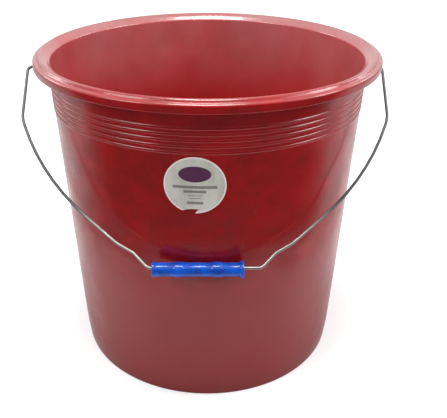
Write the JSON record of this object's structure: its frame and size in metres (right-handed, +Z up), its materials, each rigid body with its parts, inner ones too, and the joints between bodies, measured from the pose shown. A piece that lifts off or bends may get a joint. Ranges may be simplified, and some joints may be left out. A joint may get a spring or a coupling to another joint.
{
  "type": "cleaning bucket",
  "caption": "Round tapered plastic bucket with a flared rim, raised beads below it, a swinging wire bail with a tube grip, and a round label.",
  "frame": {"origin": "middle of the base, on the floor", "axes": "+Z up, +X along the bail's hinge line, -Y the front where the bail hangs and the label is"},
  "size_m": [0.3488, 0.33, 0.316],
  "materials": {
    "red_plastic": "soft polyethylene, dark red, glossy with a waxy feel",
    "wire_steel": "galvanised steel wire, dull",
    "blue_plastic": "moulded polypropylene, blue, glossy",
    "label_foil": "printed film label, satin"
  },
  "bodies": {
    "bucket": {"bucket": "red_plastic", "label": "label_foil"},
    "bail": {"bail": "wire_steel"},
    "grip": {"grip": "blue_plastic"}
  },
  "joints": [
    {"name": "bail_swing", "type": "hinge", "parent": "bucket", "child": "bail", "pos_m": [0, 0, 0.296], "axis": [-1, 0, 0], "range_deg": [0, 263]},
    {"name": "grip_spin", "type": "hinge", "parent": "bail", "child": "grip", "pos_m": [-0.0083, -0.1522, 0.1596], "axis": [1, 0, 0], "continuous": true}
  ]
}
